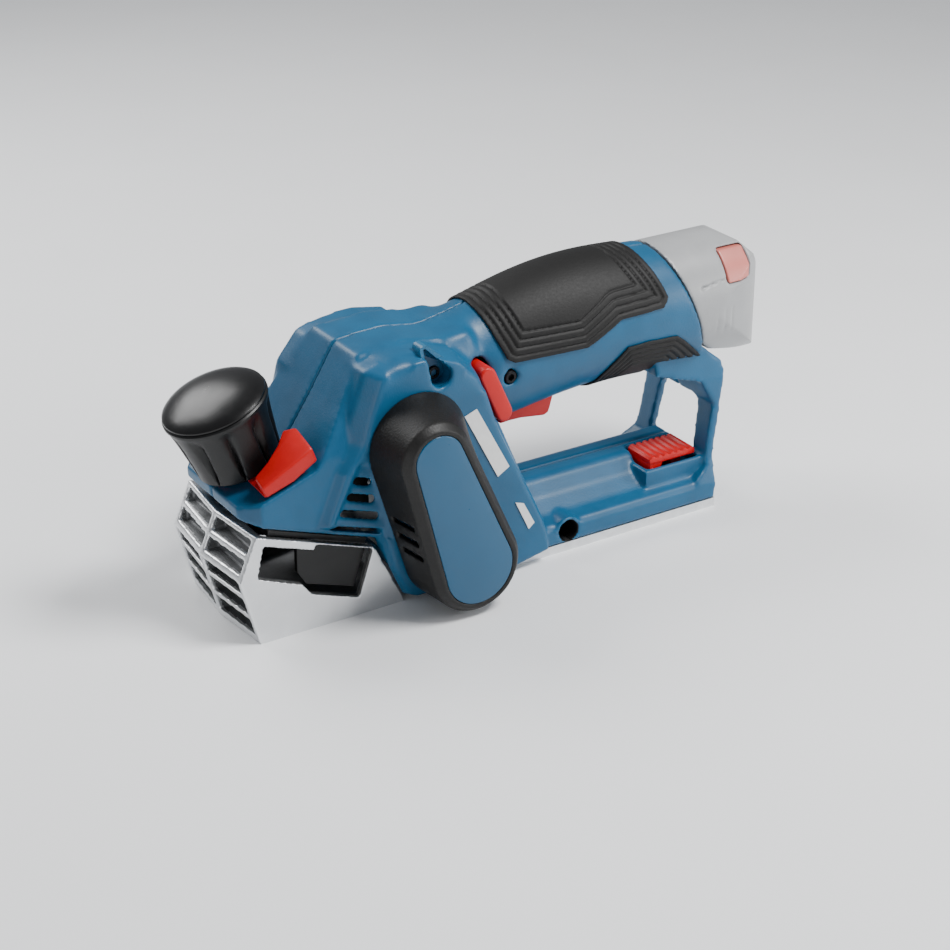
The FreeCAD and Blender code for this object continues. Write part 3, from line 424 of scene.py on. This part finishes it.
selector = joined("selector_lever", ring, rounded(wedge, 0.8, angle=15), arm)
selector.matrix_world = (Matrix.Translation(Vector(knob_foot) * MILLIMETRE)
                         @ Matrix.Rotation(-knob_tilt, 4, "Y"))
only(selector)
bpy.ops.object.transform_apply(location=True, rotation=True, scale=True)
finish(selector, red_plastic, "chip_selector", "red_plastic", "chip_selector")

# ---------------------------------------------------------------- belt cover and badge
# A deep-drawn looking nylon cover with leather-like texture, and three cooling slots in its front wall.
# The slots are cut through before the remesh, so that their edges round off with the rest.
cover_texture = surface("cover_texture", (0.004, 0.0037, 0.0034), 0.5, mottle=0.25, patch=700, grain=1300,
                        depth=0.00012, uneven=0.1, edge_highlight=(0.016, 0.015, 0.014), specular=0.35)
cover = copy_of("belt_cover", "cover_shell")
slots = []
for x, z in ((-52.4, 37.6), (-50.3, 31.4), (-48.0, 25.2)):
    slots.append(built("slot", [[(x - 10, y, z - 1.1), (x + 10, y, z - 1.1), (x + 10, y, z + 1.1),
                                 (x - 10, y, z + 1.1)] for y in (-44.5, -33)]))
cut_away(cover, *slots)
apply(cover, "REMESH", mode="VOXEL", voxel_size=0.0005)
softened(cover, 3)
finish(cover, cover_texture, "root", "black_plastic", "belt_cover", crease=50)

badge_blue = surface("badge_blue", (0.003, 0.068, 0.145), 0.3, mottle=0.02, grain=600, depth=0.00001)
badge = built("badge_plate", [side(round_hull((-30.6, 18.7, 13.1), (-46.2, 63.4, 9.1), 96), y)
                              for y in (-49.02, -49.98)])
finish(rounded(badge, 0.35), badge_blue, "root", "blue_shell", "cover_badge")

# ---------------------------------------------------------------- soft grips
# Black thermoplastic rubber moulded over the handle, with contour grooves round a smooth palm panel.
# Each grip has four grooves that follow its edge at a steady pitch.
soft_rubber = surface("soft_rubber", (0.003, 0.0028, 0.0026), 0.6, mottle=0.15, patch=300, grain=1100,
                      depth=0.00006, uneven=0.08, specular=0.35)


def nearest_edge(points, chain):
    """Distance in side view from each point to a chain of straight edges."""
    best = np.full(len(points), 1e9)
    flat = points[:, [0, 2]]
    for start, end in zip(np.array(chain[:-1], float), np.array(chain[1:], float)):
        along = end - start
        share = np.clip(((flat - start) @ along) / (along @ along), 0, 1)
        best = np.minimum(best, np.hypot(*(flat - start - share[:, None] * along).T))
    return best


grip_edge = [(-5.6, 125), (-6, 95), (-3.4, 86), (-0.4, 78.8), (2.6, 77), (32, 76.9), (46.2, 84.4),
             (65, 85), (68, 88.2), (65.4, 96.5), (61, 108), (58, 125)]
lower_edge = [(40, 48), (41.6, 62), (44.2, 66.6), (49.6, 73.2), (59, 73.6), (71.6, 73), (75.2, 70.4),
              (87, 60)]
grooves, groove_depth, groove_half_width = 4, 0.6, 0.42
handle_middle = np.array([30, 0, 77])
for name, node, edge, first, pitch in (("grip_upper", "upper_grip", grip_edge, 2.4, 2.6),
                                       ("grip_lower", "lower_grip", lower_edge, 2.0, 2.2)):
    grip = copy_of(node, name)
    apply(grip, "REMESH", mode="VOXEL", voxel_size=0.00042)
    softened(grip, 2)
    points = points_of(grip)
    normals = np.empty(len(points) * 3)
    grip.data.vertices.foreach_get("normal", normals)
    normals = normals.reshape(-1, 3)
    outward = points - handle_middle
    outward[:, 0] = 0
    outer = (normals * outward).sum(1) > 0
    depth = np.zeros(len(points))
    distance = nearest_edge(points, edge)
    for groove in range(grooves):
        off_middle = (distance - first - pitch * groove) / groove_half_width
        depth = np.maximum(depth, groove_depth * np.exp(-off_middle ** 2))
    points -= normals * (depth * outer)[:, None]
    grip.data.vertices.foreach_set("co", (points * MILLIMETRE).ravel())
    finish(grip, soft_rubber, "root", "soft_grip", node, crease=60)

# ---------------------------------------------------------------- trigger and lock button
# Red nylon with softly rounded edges. The trigger hinges on a pin in the handle.
# The lock button slides across the crown, right through both shells.
trigger_outline = [(5.7, 47), (10, 47.3), (15, 47.2), (20, 46.5), (25.1, 45.8), (27, 46.6), (27.6, 48.4),
                   (29, 53.2), (34, 55), (34, 59.4), (28, 59.4), (8, 52.7), (5.7, 50)]
trigger = built("trigger_lever", [side(trigger_outline, -5.85), side(trigger_outline, 5.85)])
finish(rounded(trigger, 0.9), red_plastic, "trigger", "red_plastic", "trigger")
lock_outline = round_hull((-5.3, 62, 3.2), (-12.2, 77.4, 3.2), 40)
lock = built("lock_slide", [side(lock_outline, -26.3), side(lock_outline, 24.5)])
finish(rounded(lock, 0.9, 4), red_plastic, "lock_button", "red_plastic", "lock_button")

# ---------------------------------------------------------------- parking rest
# Red nylon flap with a ribbed top; its foot drops through the sole to hold the cutter off the bench.
# It hinges on a steel pin in the base, and its pad lies over the well in the base's top.
ribs, rib_room = 7, 20.6
pad_outline = [(86.2, 19.9), (65.2, 19.9), (65.2, 22)]
for rib in range(ribs):
    start = 65.4 + rib_room * rib / ribs
    pad_outline += [(start + 0.3, 22.1), (start + 0.8, 22.9), (start + 2.1, 22.9), (start + 2.6, 22.1)]
pad_outline.append((86.2, 22))
pad = rounded(built("pad", [side(pad_outline, -17.5), side(pad_outline, -3.5)]), 0.25, 2)
hub_outline = [(65.2, 15.4), (69.6, 15.4), (71.8, 20.5), (65.2, 20.5)]
hub = rounded(built("hub", [side(hub_outline, y) for y in (-17.3, -3.6)]), 0.4)
stem_outline = [(79.4, 0.5), (84.1, 0.5), (84.1, 20.8), (79.4, 20.8)]
stem = rounded(built("stem", [side(stem_outline, y) for y in (-12, -8.6)]), 0.4)
finish(joined("rest_flap", pad, hub, stem), red_plastic, "parking_rest", "red_plastic", "parking_rest")

# ---------------------------------------------------------------- housing screws
# Blackened steel cap screws with a hexagon socket, sunk into the housing's pockets.
# Two are driven from each side.
black_steel = surface("black_steel", (0.012, 0.012, 0.013), 0.45, 0.6, mottle=0.15, grain=1200,
                      depth=0.00002, specular=0.2)
heads = []
for x, z, y, facing in ((1.4, 71.5, -19.6, -1), (-33, 83, -24.5, -1),
                        (38, 66, 19.8, 1), (70, 84, 21.2, 1)):
    head = turned("head", [(0, -3), (2.5, -3), (2.5, -0.5), (2.1, 0), (0, 0)], 36)
    bpy.ops.object.select_all(action="DESELECT")
    bpy.ops.mesh.primitive_cylinder_add(vertices=6, radius=1.35 * MILLIMETRE, depth=3 * MILLIMETRE)
    cut_away(head, bpy.context.object)
    heads.append(put(head, (x, y, z), (0, facing, 0)))
finish(joined("cap_screws", *heads), black_steel, "root", "dark_steel", "housing_screws")

# ---------------------------------------------------------------- battery
# Pale grey stick pack with grooved flanks and a long slot in each.
# Two press buttons near its back release it, and it slides out of the handle rearwards.
pack_plastic = surface("pack_plastic", (0.30, 0.305, 0.31), 0.38, mottle=0.04, grain=1300, depth=0.00004,
                       edge_highlight=(0.42, 0.42, 0.43))
pack = copy_of("battery_case", "pack_case")
tools = []
for flank in (-1, 1):
    for x in (91.5, 95, 98.5):
        groove_outline = [(x - 0.5, 62), (x + 0.5, 62), (x + 0.5, 78), (x - 0.5, 78)]
        tools.append(built("groove", [side(groove_outline, flank * y) for y in (20.3, 26)]))
    slot_outline = [(84, 86.6), (99, 88.6), (99, 89.8), (84, 87.8)]
    tools.append(built("slot", [side(slot_outline, flank * y) for y in (18.6, 26)]))
cut_away(pack, *tools)
apply(pack, "REMESH", mode="VOXEL", voxel_size=0.00055)
softened(pack, 4)
finish(pack, pack_plastic, "battery", "battery_shell", "battery_case", crease=50)
button_plastic = surface("button_plastic", (0.55, 0.16, 0.13), 0.36, grain=1300, depth=0.00003)
for flank in ("near", "far"):
    press = copy_of(f"release_button_{flank}", f"press_{flank}")
    apply(press, "REMESH", mode="VOXEL", voxel_size=0.0003)
    softened(press, 4)
    finish(press, button_plastic, f"release_{flank}", "release_button", f"release_button_{flank}",
           crease=50)

# ---------------------------------------------------------------- CAD pieces that show as they are
# Machined, pressed or wound parts whose shape is already right take a finish of their own.
# Each keeps its place, and only its material changes.
steel = surface("steel", (0.55, 0.55, 0.56), 0.28, 1.0, mottle=0.05, grain=900, depth=0.00002)
brushed = surface("brushed_aluminium", (0.72, 0.73, 0.74), 0.32, 1.0, mottle=0.05, patch=300,
                  grain=1200, depth=0.00004)
circuit = surface("circuit_board", (0.01, 0.09, 0.035), 0.35, mottle=0.3, patch=900, grain=700)
lead_sheath = surface("lead_sheath", (0.25, 0.015, 0.012), 0.5)
label_film = surface("label_film", (0.72, 0.72, 0.71), 0.35, mottle=0.03, patch=500, grain=900,
                     depth=0.00001)
plain_finishes = {"blue_shell": blue_plastic, "cast_aluminium": brushed, "black_plastic": black_plastic,
                  "red_plastic": red_plastic, "soft_grip": soft_rubber, "steel": steel,
                  "dark_steel": black_steel, "circuit_board": circuit, "lead_sheath": lead_sheath,
                  "label_film": label_film,
                  "battery_shell": pack_plastic, "release_button": button_plastic}
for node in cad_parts.values():
    for place in node.material_slots:
        finish_name = next(key for key in plain_finishes if place.material.name.startswith(key))
        place.material = plain_finishes[finish_name]
